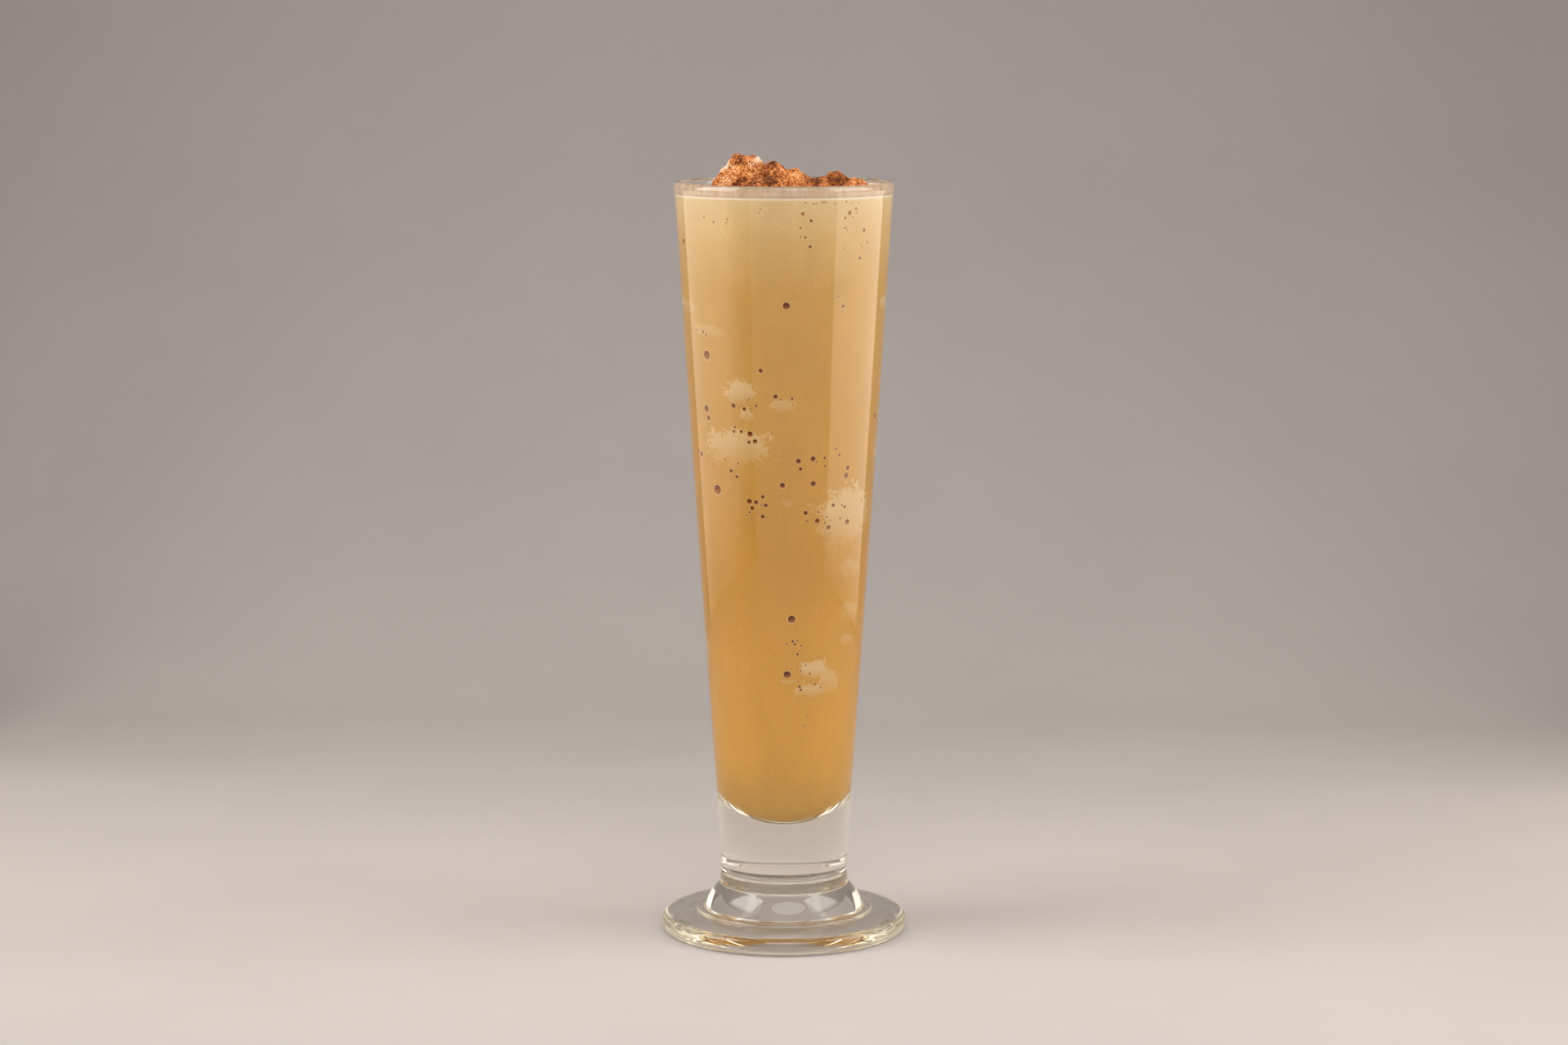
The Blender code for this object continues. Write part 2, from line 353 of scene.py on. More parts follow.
class GlassSettings(bpy.types.PropertyGroup):
    """Sizes and colour of the footed glass that a user may change."""

    tint: colour_property("Tint", "Colour of the clear glass", "FFFEFB")
    steps: whole_property("Steps", "Facets round the glass", GLASS_STEPS, 24)


class DrinkSettings(bpy.types.PropertyGroup):
    """Colours of the coffee and its foam that a user may change."""

    level: number_property("Level", "Height of the drink's top", DRINK_LEVEL_Z, "LENGTH")
    head: colour_property("Head", "Pale foam at the top", "F2D7A3")
    under_head: colour_property("Under the head", "Where the foam turns to coffee", "E9C385")
    upper: colour_property("Upper coffee", "Coffee in the upper third", "DFB265")
    middle: colour_property("Middle coffee", "Coffee half way down", "E2AC52")
    # The lower coffee is partly its own colour and partly painted light, brighter where the bowl's lower side
    # gets little light
    lower: colour_property("Lower coffee", "Coffee near the bottom", "EFB753")
    froth: colour_property("Froth", "Torn pale froth against the wall", "F6DDAE")
    # The bubble colour is painted shade: a dark brown that stands in for the shade inside each air bubble
    bubble: colour_property("Bubble", "Inside of an air bubble", "86440A")


class CreamSettings(bpy.types.PropertyGroup):
    """Colours of the cream and its dusting that a user may change."""

    cream: colour_property("Cream", "Bare frozen cream", "DAC0A5")
    dust_light: colour_property("Light dust", "Thin dusting of cinnamon", "DDA474")
    dust: colour_property("Dust", "Full dusting of cinnamon", "A65F2C")
    # The darkest dust colour is also the painted shade in the cream's hollows
    dust_dark_and_painted_shade: colour_property("Dark dust", "Damp cinnamon in the hollows", "46200A")
    grains: whole_property("Grains", "Loose grains on the cream", 5200)


class StageSettings(bpy.types.PropertyGroup):
    """Floor, light and camera that a user may change."""

    floor: colour_property("Floor", "Pale floor under the glass", "B3ABA7")
    backdrop: colour_property("Backdrop", "Where the floor has risen behind the glass", "918A88")
    lens: number_property("Lens", "Focal length", CAMERA_LENS_MM, "CAMERA")
    side_light: number_property("Side light", "Radiance of the soft boxes", 1.9)
    top_light: number_property("Top light", "Radiance of the light above", 2.4)
    room_light: number_property("Room light", "Strength of the light overhead", 1.05)


def add(tree, kind, inputs=None, **settings):
    """Adds a shader node, gives it its settings, and gives each named input a value or a link."""
    made = tree.nodes.new("ShaderNode" + kind)
    for name, value in settings.items():
        setattr(made, name, value)
    for name, value in (inputs or {}).items():
        if isinstance(value, bpy.types.NodeSocket):
            tree.links.new(value, made.inputs[name])
        else:
            made.inputs[name].default_value = value
    return made


def new_material(name):
    """An empty material and its node tree."""
    made = bpy.data.materials.new(name)
    made.use_nodes = True
    made.node_tree.nodes.clear()
    return made, made.node_tree


def joined(made, surface, **body):
    """The material, once its surface, and its body where it has one, reach its output."""
    add(made.node_tree, "OutputMaterial", {"Surface": surface, **body})
    return made


def opaque(tree, colour, roughness, gloss, **more):
    """An opaque surface: its colour, how rough it is and how strongly it mirrors what it faces."""
    values = {"Base Color": colour, "Roughness": roughness, "Specular IOR Level": gloss}
    return add(tree, "BsdfPrincipled", {**values, **more}).outputs[0]


def stored(tree, name):
    """What a mesh stores for each vertex under a name."""
    return add(tree, "Attribute", attribute_name=name).outputs["Fac"]


def either(tree, factor, first, second):
    """One surface where the factor is 0 and another where it is 1."""
    return add(tree, "MixShader", {0: factor, 1: first, 2: second}).outputs[0]


def bumped(tree, strength, distance, height):
    """The surface's direction, tilted by a height."""
    return add(tree, "Bump", {"Strength": strength, "Distance": distance, "Height": height}).outputs[0]


def cells(tree, size, output):
    """Cells about size metres wide: the distance to each one's middle, or a colour of its own."""
    place = add(tree, "TexCoord").outputs["Object"]
    return add(tree, "TexVoronoi", {"Vector": place, "Scale": 1 / size}).outputs[output]


def along(tree, axis):
    """The place on the object along one axis."""
    place = add(tree, "TexCoord").outputs["Object"]
    return add(tree, "SeparateXYZ", {0: place}).outputs[axis]


def ramp(tree, factor, stops):
    """A colour ramp's colour, from (place, colour) stops."""
    made = add(tree, "ValToRGB", {"Fac": factor})
    elements = made.color_ramp.elements
    while len(elements) > 1:
        elements.remove(elements[-1])
    elements[0].position, elements[0].color = stops[0]
    for place, colour in stops[1:]:
        elements.new(place).color = colour
    return made.outputs["Color"]


def maths(tree, operation, a, b):
    return add(tree, "Math", {0: a, 1: b}, operation=operation).outputs[0]


def mixed(tree, factor, a, b, blend="MIX"):
    """A mix of two colours."""
    made = add(tree, "Mix", data_type="RGBA", blend_type=blend)
    for index, value in ((0, factor), (6, a), (7, b)):
        if isinstance(value, bpy.types.NodeSocket):
            tree.links.new(value, made.inputs[index])
        else:
            made.inputs[index].default_value = value
    return made.outputs[2]


def noise_value(tree, size, detail=3.0, roughness=0.5, stretch=(1, 1, 1)):
    """Noise whose features are about size metres wide."""
    place = add(tree, "TexCoord").outputs["Object"]
    scaled = add(tree, "Mapping", {"Vector": place, "Scale": [s / size for s in stretch]}).outputs[0]
    made = add(tree, "TexNoise", {"Vector": scaled, "Scale": 1.0, "Detail": detail, "Roughness": roughness})
    return made.outputs["Fac"]


def remapped(tree, value, low, high, to_low=0.0, to_high=1.0, smooth=False):
    """A value moved from one range to another and held inside it."""
    made = add(
        tree,
        "MapRange",
        {"Value": value, "From Min": low, "From Max": high, "To Min": to_low, "To Max": to_high},
        interpolation_type="SMOOTHSTEP" if smooth else "LINEAR",
    )
    return made.outputs["Result"]


def rgba(value):
    return (*value, 1.0)


# Shapes


def arc(centre, radii, start, end, steps):
    """Points (radius, height) on an ellipse, between two angles in degrees from the outward direction."""
    angles = [math.radians(a) for a in rises(start, end, steps)]
    return [(centre[0] + radii[0] * math.cos(a), centre[1] + radii[1] * math.sin(a)) for a in angles]


def bulged(start, end, bulge, steps):
    """Points from start to end on a shallow curve that swells outward by bulge."""
    a, b = Vector(start), Vector(end)
    side = Vector((a.y - b.y, b.x - a.x)).normalized()
    share = [i / steps for i in range(steps + 1)]
    return [tuple(a.lerp(b, t) + side * bulge * 4 * t * (1 - t)) for t in share]


def softened(points, radius, steps=4, least=math.radians(14)):
    """The outline with each of its sharp corners rounded off, as pressing leaves them."""
    made = [points[0]]
    for before, corner, after in zip(points, points[1:], points[2:]):
        p, back, on = Vector(corner), Vector(before) - Vector(corner), Vector(after) - Vector(corner)
        turn = math.pi - back.angle(on)
        if turn < least:
            made.append(corner)
            continue
        reach = min(radius * math.tan(turn / 2), back.length * 0.45, on.length * 0.45)
        a, b = p + back.normalized() * reach, p + on.normalized() * reach
        for i in range(steps + 1):
            t = i / steps
            made.append(tuple(a.lerp(p, t).lerp(p.lerp(b, t), t)))
    return [*made, points[-1]]


def filled(points, longest):
    """The outline with long spans parted, so that the shading stays flat between its corners."""
    made = [points[0]]
    for start, end in zip(points, points[1:]):
        parts = max(1, math.ceil(math.dist(start, end) / longest))
        made += [tuple(Vector(start).lerp(Vector(end), i / parts)) for i in range(1, parts + 1)]
    return made


def cavity_radius(z):
    """The hollow's radius at a height above its rounded bottom."""
    share = (z - BOWL_TOP_Z) / (GLASS_HEIGHT - RIM_ROUND - BOWL_TOP_Z)
    return CAVITY_BOWL_RADIUS + (RIM_RADIUS - RIM_WALL - CAVITY_BOWL_RADIUS) * share


def cavity_side(top, bottom, outset, rows):
    return [(cavity_radius(z) + outset, z) for z in rises(top, bottom, rows)]


def cavity_bowl(outset, steps):
    radii = (CAVITY_BOWL_RADIUS + outset, CAVITY_BOWL_HEIGHT + outset)
    return arc((0, BOWL_TOP_Z), radii, 0, -90, steps)


def glass_outline():
    """The glass from the bottom of its hollow, over the rim, down the outside and under the foot."""
    rim_centre = (RIM_RADIUS - RIM_WALL / 2, GLASS_HEIGHT - RIM_ROUND)
    hollow = [*cavity_side(rim_centre[1], BOWL_TOP_Z, 0, 24)[1:-1], *cavity_bowl(0, 24)]
    rim = arc(rim_centre, (RIM_WALL / 2, RIM_ROUND), 180, 0, 16)
    bead_foot_radius = RIM_RADIUS - BEAD_DEPTH
    bead_height = rim_centre[1] - BEAD_FOOT_Z
    bead = []
    for share in [i / 8 for i in range(1, 9)]:
        swell = BEAD_DEPTH * (0.5 + 0.5 * math.cos(math.pi * share))
        bead.append((bead_foot_radius + swell, BEAD_FOOT_Z + bead_height * (1 - share)))
    taper = bulged((bead_foot_radius, BEAD_FOOT_Z), (STEM_TOP_RADIUS, STEM_TOP_Z), WALL_BOW, 24)
    ring_radius = (NECK_RADIUS + BELL_TOP_RADIUS) / 2
    neck = [
        (NECK_RADIUS, NECK_Z),
        (ring_radius, GROOVE_Z + GROOVE_HALF_WIDTH),
        (ring_radius - GROOVE_DEPTH, GROOVE_Z),
        (ring_radius, GROOVE_Z - GROOVE_HALF_WIDTH),
    ]
    bell = bulged((BELL_TOP_RADIUS, BELL_TOP_Z), (BELL_FOOT_RADIUS, BELL_FOOT_Z), BELL_BULGE, 12)
    corner = (STEP_RADIUS - STEP_ROUND, STEP_TOP_Z - STEP_ROUND)
    step = [(BELL_FOOT_RADIUS + STEP_ROUND, STEP_TOP_Z), *arc(corner, (STEP_ROUND, STEP_ROUND), 90, 0, 5)]
    edge_radii = (FOOT_RADIUS - DISC_EDGE_RADIUS, DISC_EDGE_HEIGHT / 2)
    edge = arc((DISC_EDGE_RADIUS, DISC_EDGE_HEIGHT / 2), edge_radii, 90, -90, 24)
    shares = rises(1, 0, 12)
    recess = [(CONTACT_INNER_RADIUS * s, RECESS_DEPTH * (1 - s * s)) for s in shares]
    corners = [taper[-1], *neck, *bell, *step, (STEP_RADIUS, DISC_INNER_Z), *edge[:1]]
    lower = filled(softened(corners, PRESSED_EDGE), FOOT_SPAN)
    under = filled([edge[-1], *recess], 2 * FOOT_SPAN)
    return [*reversed(hollow), *rim, *bead, *taper[1:-1], *lower, *edge[1:-1], *under]


def turned(name, outline, steps):
    """A new object: an outline of (radius, height) points, from axis to axis, turned about Z."""
    angles = np.arange(steps) * (2 * math.pi / steps)
    circle = np.stack([np.cos(angles), np.sin(angles), np.zeros(steps)], 1)
    points = [(0, 0, outline[0][1])]
    for radius, z in outline[1:-1]:
        points += (circle * radius + (0, 0, z)).tolist()
    points.append((0, 0, outline[-1][1]))
    rings = len(outline) - 2
    faces = []
    for i in range(steps):
        j = (i + 1) % steps
        faces.append((0, 1 + i, 1 + j))
        for k in range(rings - 1):
            a, b = 1 + k * steps, 1 + (k + 1) * steps
            faces.append((a + i, b + i, b + j, a + j))
        last = 1 + (rings - 1) * steps
        faces.append((len(points) - 1, last + j, last + i))
    made = from_faces(name, points, faces)
    face_out(made.data)
    return made


def face_out(mesh):
    """Turns a closed mesh's faces outward."""
    shape = bmesh.new()
    shape.from_mesh(mesh)
    if shape.calc_volume(signed=True) < 0:
        bmesh.ops.reverse_faces(shape, faces=shape.faces)
    shape.to_mesh(mesh)
    shape.free()
    mesh.shade_smooth()


def linked(made):
    bpy.context.scene.collection.objects.link(made)
    return made


def from_faces(name, points, faces):
    """A new object in the scene from points and faces."""
    mesh = bpy.data.meshes.new(name)
    mesh.from_pydata(points, [], faces)
    return linked(bpy.data.objects.new(name, mesh))


def from_shape(name, shape):
    """A new object in the scene from a bmesh, which is used up."""
    mesh = bpy.data.meshes.new(name)
    shape.to_mesh(mesh)
    shape.free()
    return linked(bpy.data.objects.new(name, mesh))


def store(mesh, **values):
    """Stores numbers for the vertices under the names that the materials read."""
    for name, numbers in values.items():
        mesh.attributes.new(name, "FLOAT", "POINT").data.foreach_set("value", numbers)


def rises(start, end, rows):
    """Even steps from start to end, both of them included."""
    return [start + (end - start) * i / rows for i in range(rows + 1)]


def applied(made):
    """Leaves only the evaluated mesh on an object."""
    evaluated = made.evaluated_get(bpy.context.evaluated_depsgraph_get())
    mesh = bpy.data.meshes.new_from_object(evaluated)
    made.modifiers.clear()
    made.data = mesh


def finished(made, slot, materials, *nodes):
    """Gives a piece its materials, its body and the nodes it stands for; its slot is not used."""
    for finish in materials:
        made.data.materials.append(finish)
    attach(made, "root")
    if nodes:
        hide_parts(*nodes)


def wall_azimuth(x, z):
    """The azimuth from the front at which the wall shows x to the side of the middle."""
    outer = BELL_TOP_RADIUS + (RIM_RADIUS - BELL_TOP_RADIUS) * (z - NECK_Z) / (GLASS_HEIGHT - NECK_Z)
    return math.asin(max(-0.99, min(0.99, x / outer)))


def on_wall(azimuth, z, outset=0.0):
    """A point on the wall of the hollow. Azimuth 0 faces the viewer."""
    radius = cavity_radius(z) + outset
    return Vector((radius * math.sin(azimuth), -radius * math.cos(azimuth), z))


# Materials


def soda_lime_glass(settings):
    """Pressed, fire-polished soda-lime glass: clear and glossy, with the faint waves that pressing leaves."""
    made, tree = new_material("soda_lime_glass")
    waves = noise_value(tree, 22 * MM, detail=1.0, stretch=(1, 1, 0.35))
    clear = {
        "Base Color": rgba(settings.tint),
        "Roughness": 0.0,
        "IOR": GLASS_IOR,
        "Transmission Weight": 1.0,
        "Normal": bumped(tree, 0.12, 0.1 * MM, waves),
    }
    body = add(tree, "VolumeAbsorption", {"Color": linear("EEDD9A"), "Density": 4.5})
    return joined(made, add(tree, "BsdfPrincipled", clear).outputs[0], Volume=body.outputs[0])


def drink_colour(tree, settings):
    """Colour by height, uneven as poured drink is, with torn pale froth against the wall, a painted highlight
    at the level, and the lowest coffee painted brighter partly as painted light.
    """
    height = along(tree, "Z")
    sway = maths(tree, "MULTIPLY", maths(tree, "SUBTRACT", noise_value(tree, 30 * MM), 0.5), 16 * MM)
    share = remapped(tree, maths(tree, "ADD", height, sway), CAVITY_FLOOR_Z, DRINK_LEVEL_Z)
    # The lowest stops are brighter partly as painted light on the bowl's lower side
    stops = (
        (0.0, linear("FAC464")),
        (0.1, rgba(settings.lower)),
        (0.16, rgba(settings.lower)),
        (0.42, rgba(settings.middle)),
        (0.86, rgba(settings.upper)),
        (0.94, rgba(settings.under_head)),
        (1.0, rgba(settings.head)),
    )
    colour = ramp(tree, share, stops)
    streaks = remapped(tree, noise_value(tree, 9 * MM, stretch=(1, 1, 0.4)), 0.35, 0.65, 0.97, 1.03)
    grain = remapped(tree, noise_value(tree, 0.8 * MM, detail=3), 0.3, 0.7, 0.965, 1.035)
    shade = maths(tree, "MULTIPLY", streaks, grain)
    colour = mixed(tree, 1.0, colour, shade, "MULTIPLY")
    ragged = maths(tree, "SUBTRACT", noise_value(tree, 3.0 * MM, detail=9, roughness=0.8), 0.5)
    curds = remapped(tree, cells(tree, 1.1 * MM, "Distance"), 0.1, 0.8, 0.1, -0.15)
    reach, fade = stored(tree, "froth"), stored(tree, "froth_fade")
    torn = maths(tree, "ADD", maths(tree, "MULTIPLY", ragged, 2.7), curds)
    edge = remapped(tree, maths(tree, "ADD", reach, torn), 0.45, 0.68, smooth=True)
    colour = mixed(tree, maths(tree, "MULTIPLY", edge, fade), colour, rgba(settings.froth))
    # Painted highlight: a pale line along the drink's level, where the meniscus catches the light
    painted_highlight = remapped(tree, height, LEVEL_HIGHLIGHT_Z, LEVEL_HIGHLIGHT_Z + LEVEL_HIGHLIGHT_EDGE)
    colour = mixed(tree, painted_highlight, colour, linear("FBECD8"))
    above = remapped(tree, height, LEVEL_HIGHLIGHT_Z + LEVEL_HIGHLIGHT_HEIGHT, LEVEL_HIGHLIGHT_Z + LEVEL_HIGHLIGHT_HEIGHT + LEVEL_HIGHLIGHT_EDGE)
    return mixed(tree, above, colour, mixed(tree, 1.0, film_colour(tree), linear("E2DAD2"), "MULTIPLY"))


def film_streaks(tree):
    """The upright streaks that run through the film's colour and its thickness alike."""
    return noise_value(tree, 2.4 * MM, detail=5, roughness=0.6, stretch=(1, 1, 0.5))


def film_colour(tree):
    """Dried foam on glass: pinkish beige with upright streaks."""
    return mixed(tree, remapped(tree, film_streaks(tree), 0.35, 0.65), linear("E9CAAC"), linear("F1D9C2"))


def wet_coffee(name, settings):
    """Milky iced coffee held against glass: opaque, and a mirror only at a glancing angle."""
    made, tree = new_material(name)
    surface = opaque(tree, drink_colour(tree, settings), 0.45, 0.08)
    mirror = add(tree, "BsdfGlossy", {"Color": (1, 1, 1, 1), "Roughness": 0.03})
    edge = add(tree, "Fresnel", {"IOR": DRINK_IOR / GLASS_IOR})
    return joined(made, either(tree, edge.outputs[0], surface, mirror.outputs[0]))


def foam_top():
    """Fine milk foam in the open: pale, matt, pitted with bubbles of about half a millimetre, each pit
    painted darker as shade.
    """
    made, tree = new_material("fine_milk_foam")
    froth = cells(tree, 0.9 * MM, "Distance")
    tone = remapped(tree, noise_value(tree, 6 * MM, detail=5), 0.35, 0.65)
    colour = mixed(tree, tone, linear("B89D76"), linear("CAB390"))
    # Painted shade: each pit of the foam is darker at its middle
    painted_pit_shade = remapped(tree, froth, 0.0, 0.35, 0.8, 1.0, smooth=True)
    colour = mixed(tree, 1.0, colour, painted_pit_shade, "MULTIPLY")
    return joined(made, opaque(tree, colour, 0.55, 0.35, Normal=bumped(tree, 0.5, 0.2 * MM, froth)))


def bubble_painted_shade(settings):
    """Painted shade inside an air bubble: a dark brown dot, painted lighter below where light reaches in."""
    made, tree = new_material("bubbles_painted_shade")
    uneven = remapped(tree, noise_value(tree, 0.8 * MM), 0.3, 0.7, -0.15, 0.15)
    tone = maths(tree, "ADD", stored(tree, "tone"), uneven)
    # Painted light and shade: pale at a bubble's foot, where light reaches in, and dark at its top
    stops = ((0.05, linear("C28536")), (0.5, rgba(settings.bubble)), (0.95, linear("562902")))
    return joined(made, opaque(tree, ramp(tree, tone, stops), 0.5, 0.05))


def bubble_rim(settings):
    """A pale ring in the froth's colour round each bubble, set a little low."""
    made, tree = new_material("pale_rings_round_bubbles")
    tone = remapped(tree, noise_value(tree, 1.0 * MM), 0.3, 0.7)
    colour = mixed(tree, tone, rgba(settings.froth), linear("E8BE8C"))
    return joined(made, opaque(tree, colour, 0.5, 0.1))


def dusted_cream(settings):
    """Frozen cream under ground cinnamon: a rough matt crust, patchy from bare white to dark brown, with
    painted shade darkening the dust in the hollows.
    """
    made, tree = new_material("cinnamon_dusted_cream")
    speckle = add(tree, "SeparateColor", {0: cells(tree, 0.42 * MM, "Color")}).outputs[0]
    patches = noise_value(tree, 3.2 * MM, detail=6, roughness=0.65)
    fine = noise_value(tree, 1.0 * MM, detail=5, roughness=0.75)
    cream = mixed(tree, remapped(tree, patches, 0.35, 0.65), rgba(settings.cream), linear("CCA57F"))
    # Darker by the dust's own uneven tone, and by painted shade in the hollows
    darkness_and_painted_shade = maths(tree, "ADD", remapped(tree, fine, 0.25, 0.75, -0.45, 0.45), stored(tree, "hollow"))
    darkness_and_painted_shade = maths(tree, "ADD", darkness_and_painted_shade, remapped(tree, patches, 0.3, 0.7, -0.25, 0.25))
    darkness_and_painted_shade = maths(tree, "ADD", darkness_and_painted_shade, remapped(tree, speckle, 0, 1, -0.3, 0.3))
    stops = (
        (0.0, rgba(settings.dust_light)),
        (0.3, linear("C6834A")),
        (0.56, rgba(settings.dust)),
        (0.78, linear("783C18")),
        (1.0, rgba(settings.dust_dark_and_painted_shade)),
    )
    dust = ramp(tree, darkness_and_painted_shade, stops)
    shown = maths(tree, "ADD", stored(tree, "dust"), remapped(tree, speckle, 0, 1, -0.3, 0.3))
    shown = maths(tree, "ADD", shown, remapped(tree, fine, 0.3, 0.7, -0.3, 0.3))
    colour = mixed(tree, remapped(tree, shown, 0.35, 0.6, smooth=True), cream, dust)
    return joined(made, opaque(tree, colour, 0.85, 0.15, Normal=bumped(tree, 0.6, 0.12 * MM, speckle)))


def ground_cinnamon(settings):
    """Ground cinnamon: dry matt grains, each a slightly different brown."""
    made, tree = new_material("ground_cinnamon")
    stops = (
        (0.0, rgba(settings.dust_light)),
        (0.45, rgba(settings.dust)),
        (0.8, linear("8A4420")),
        (1.0, rgba(settings.dust_dark_and_painted_shade)),
    )
    rough = remapped(tree, noise_value(tree, 0.15 * MM), 0.3, 0.7, 0.8, 1.15)
    colour = mixed(tree, 1.0, ramp(tree, stored(tree, "tone"), stops), rough, "MULTIPLY")
    return joined(made, opaque(tree, colour, 0.9, 0.2))


def foam_film():
    """The thin film of foam left on the wall above the drink: milky, streaked and half see-through."""
    made, tree = new_material("foam_film")
    streaks = remapped(tree, film_streaks(tree), 0.3, 0.7, 0.75, 1.0)
    cover = maths(tree, "MULTIPLY", stored(tree, "film"), streaks)
    return joined(made, opaque(tree, film_colour(tree), 0.35, 0.5, Alpha=cover, IOR=WATER_IOR))


def painted_board(settings):
    """A plain pale painted board: matt, with a faint uneven tone. Seen from behind, it is clear."""
    made, tree = new_material("painted_board")
    tone = remapped(tree, noise_value(tree, 120 * MM, detail=6, roughness=0.6), 0.3, 0.7, 0.97, 1.03)
    back = remapped(tree, along(tree, "Y"), 0.1, 0.6)
    base = mixed(tree, back, rgba(settings.floor), rgba(settings.backdrop))
    paint = opaque(tree, mixed(tree, 1.0, base, tone, "MULTIPLY"), 0.8, 0.2)
    behind = add(tree, "NewGeometry").outputs["Backfacing"]
    return joined(made, either(tree, behind, paint, add(tree, "BsdfTransparent").outputs[0]))


def lamp_cloth(name, radiance, colour):
    """White cloth over a lamp: an even glow that fades at its edges, on the inner side only."""
    made, tree = new_material(name)
    behind = add(tree, "NewGeometry").outputs["Backfacing"]
    strength = maths(tree, "MULTIPLY", stored(tree, "glow"), maths(tree, "SUBTRACT", 1.0, behind))
    strength = maths(tree, "MULTIPLY", strength, radiance)
    return joined(made, add(tree, "Emission", {"Color": colour, "Strength": strength}).outputs[0])


# Pieces


class CAPPUCCINO_OT_glass(bpy.types.Operator):
    """Make the footed glass"""

    bl_idname = "cappuccino.glass"
    bl_label = "Footed glass"

    def execute(self, context):
        settings = context.scene.cappuccino_glass
        made = turned("footed_glass", glass_outline(), settings.steps)
        made.data.set_sharp_from_angle(angle=math.radians(40))
        finished(made, "glass", [soda_lime_glass(settings)], "glass")
        return {"FINISHED"}


def bubbles():
    """Every air bubble against the wall: its azimuth, height and diameter."""
    draw = random.Random(SEED)
    made = [(wall_azimuth(x * MM, z * MM), z * MM, size * MM) for x, z, size in LARGE_BUBBLES]
    for x, z, half_x, half_z, count, least, most in BUBBLE_GROUPS:
        for _ in range(count):
            side = (x + half_x * draw.uniform(-1, 1)) * MM
            height = (z + half_z * draw.uniform(-1, 1)) * MM
            size = (least + (most - least) * draw.random() ** 1.6) * MM
            made.append((wall_azimuth(side, height), height, size))
    for _ in range(HIDDEN_GROUPS):
        azimuth = math.radians(draw.uniform(*HIDDEN_AZIMUTH))
        middle = draw.uniform(70, 212) * MM
        for _ in range(draw.randint(3, 8)):
            turn = azimuth + draw.gauss(0, 0.13)
            size = (0.5 + 1.5 * draw.random() ** 2.2) * MM
            made.append((turn, middle + draw.gauss(0, 3.0) * MM, size))
    return spread_out([b for b in made if b[1] < DRINK_LEVEL_Z - b[2]])


def spread_out(found):
    """The bubbles without those that would run into a bubble before them."""
    kept = []
    for azimuth, z, size in found:
        point = on_wall(azimuth, z)
        if all((point - on_wall(a, h)).length > (size + s) * BUBBLE_SPACING for a, h, s in kept):
            kept.append((azimuth, z, size))
    return kept


def froth_patches():
    """Every torn patch of froth: azimuth, height, half width in radians, half height and how pale."""
    draw = random.Random(SEED + 1)
    made = []
    for x, z, half_x, half_z, pale in FROTH_PATCHES:
        azimuth = wall_azimuth(x * MM, z * MM)
        half = half_x * MM / (cavity_radius(z * MM) * max(math.cos(azimuth), 0.45))
        made.append((azimuth, z * MM, half, half_z * MM, pale))
    for _ in range(HIDDEN_PATCHES):
        azimuth = math.radians(draw.uniform(*HIDDEN_AZIMUTH))
        size = (draw.uniform(0.12, 0.4), draw.uniform(2, 7) * MM, draw.uniform(0.4, 0.9))
        made.append((azimuth, draw.uniform(72, 190) * MM, *size))
    return made


def mark_froth(mesh):
    """Stores on each vertex how far it is inside a patch of froth, and how pale the froth is there."""
    place = np.empty(len(mesh.vertices) * 3)
    mesh.vertices.foreach_get("co", place)
    x, y, z = place.reshape(-1, 3).T
    azimuth = np.arctan2(x, -y)
    reach, fade = np.zeros(len(x)), np.zeros(len(x))
    for middle, height, half, half_height, pale in froth_patches():
        side = (azimuth - middle + math.pi) % (2 * math.pi) - math.pi
        u, v = side / half, (z - height) / half_height
        near = FROTH_REACH - np.sqrt(u * u + v * v)
        better = near > reach
        reach = np.where(better, near, reach)
        fade = np.where(better, pale * np.clip(0.1 + 0.7 * (v + 1) / 1.3, 0, 0.75), fade)
    store(mesh, froth=reach.astype(np.float32), froth_fade=fade.astype(np.float32))


class CAPPUCCINO_OT_coffee(bpy.types.Operator):
    """Make the blended coffee up to the foam, with the froth against the wall"""

    bl_idname = "cappuccino.coffee"
    bl_label = "Blended coffee"

    def execute(self, context):
        settings = context.scene.cappuccino_drink
        rows = round((FOAM_FOOT_Z - BOWL_TOP_Z) / DRINK_ROW)
        side = cavity_side(FOAM_FOOT_Z, BOWL_TOP_Z, INTO_WALL, rows)
        outline = [(0, FOAM_FOOT_Z), *side[:-1], *cavity_bowl(INTO_WALL, 24)]
        made = turned("blended_coffee_body", outline, DRINK_STEPS)
        made.data.set_sharp_from_angle(angle=math.radians(50))
        mark_froth(made.data)
        finished(made, "coffee", [wet_coffee("blended_coffee_at_glass", settings)], "blended_coffee")
        return {"FINISHED"}


